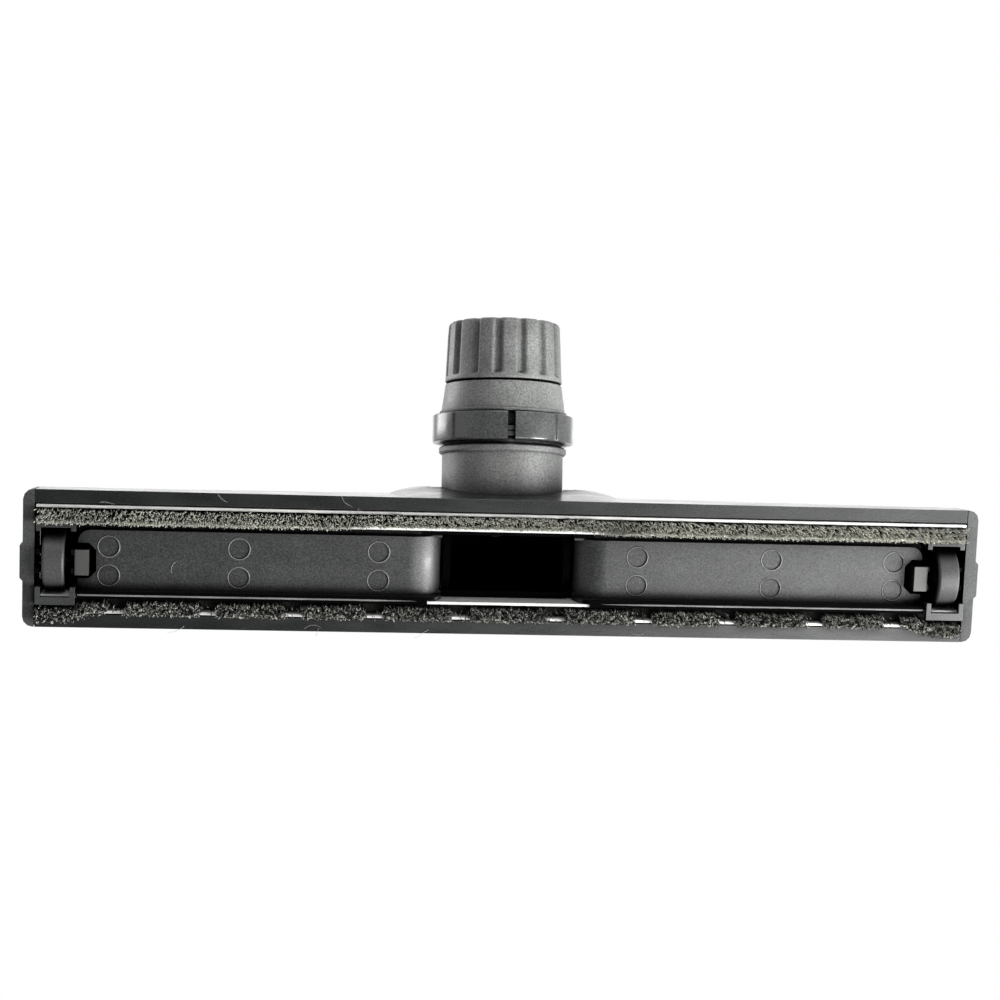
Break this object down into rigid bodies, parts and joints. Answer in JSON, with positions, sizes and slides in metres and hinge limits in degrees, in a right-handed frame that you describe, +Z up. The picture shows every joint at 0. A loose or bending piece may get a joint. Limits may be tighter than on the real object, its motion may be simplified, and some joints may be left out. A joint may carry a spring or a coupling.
{
  "type": "vacuum floor tool",
  "caption": "Long low floor tool for a vacuum cleaner, with brush strips in aluminium rails, end wheels, a central suction mouth and a tilting, swivelling neck with a tube clamp nut.",
  "frame": {"origin": "on the floor, under the middle of the bounding box with the neck at its lowest", "axes": "+X along the tool to its left side, +Y to the rear where the neck points, +Z up from the floor"},
  "size_m": [0.4024, 0.131, 0.0844],
  "materials": {
    "black_plastic": "matt black moulded plastic",
    "sole_plastic": "black moulded plastic with a soft sheen",
    "dark_grey_plastic": "fine-grained dark grey plastic",
    "glossy_black_plastic": "glossy black plastic",
    "aluminium": "bare extruded aluminium",
    "bristle": "dense black bristle",
    "axle_steel": "plain steel pin",
    "seal_rubber": "black rubber"
  },
  "bodies": {
    "base": {"housing": "black_plastic", "sole_plate": "sole_plastic", "front_rail": "aluminium", "rear_rail": "aluminium", "front_brush": "bristle", "rear_brush": "bristle", "left_end_cap": "dark_grey_plastic", "right_end_cap": "dark_grey_plastic", "left_wheel_bracket": "sole_plastic", "right_wheel_bracket": "sole_plastic", "left_axle": "axle_steel", "right_axle": "axle_steel", "left_pivot_bush": "dark_grey_plastic", "right_pivot_bush": "dark_grey_plastic"},
    "neck": {"neck_elbow": "dark_grey_plastic", "swivel_seal": "seal_rubber", "clip_ring": "glossy_black_plastic"},
    "swivel": {"swivel_sleeve": "dark_grey_plastic"},
    "tube_collet": {"collet": "sole_plastic"},
    "nut": {"clamp_nut": "dark_grey_plastic"},
    "left_roller": {"left_wheel": "black_plastic"},
    "right_roller": {"right_wheel": "black_plastic"}
  },
  "joints": [
    {"name": "neck_tilt", "type": "hinge", "parent": "base", "child": "neck", "pos_m": [0, -0.03699, 0.04201], "axis": [1, 0, 0], "range_deg": [0, 55]},
    {"name": "neck_swivel", "type": "hinge", "parent": "neck", "child": "swivel", "pos_m": [0, 0.02191, 0.05346], "axis": [0, 0.9816, 0.1908], "continuous": true},
    {"name": "collet_slide", "type": "slide", "parent": "swivel", "child": "tube_collet", "axis": [0, 0.9816, 0.1908], "range_m": [0, 0.003]},
    {"name": "nut_turn", "type": "hinge", "parent": "tube_collet", "child": "nut", "pos_m": [0, 0.05136, 0.05919], "axis": [0, 0.9816, 0.1908], "range_deg": [0, 360]},
    {"name": "left_wheel_spin", "type": "hinge", "parent": "base", "child": "left_roller", "pos_m": [0.1875, -0.03849, 0.0125], "axis": [1, 0, 0], "continuous": true},
    {"name": "right_wheel_spin", "type": "hinge", "parent": "base", "child": "right_roller", "pos_m": [-0.1875, -0.03849, 0.0125], "axis": [1, 0, 0], "continuous": true}
  ],
  "couplings": [
    {"joint": "collet_slide", "follows": "nut_turn", "m_per_rad": 0.000477}
  ]
}
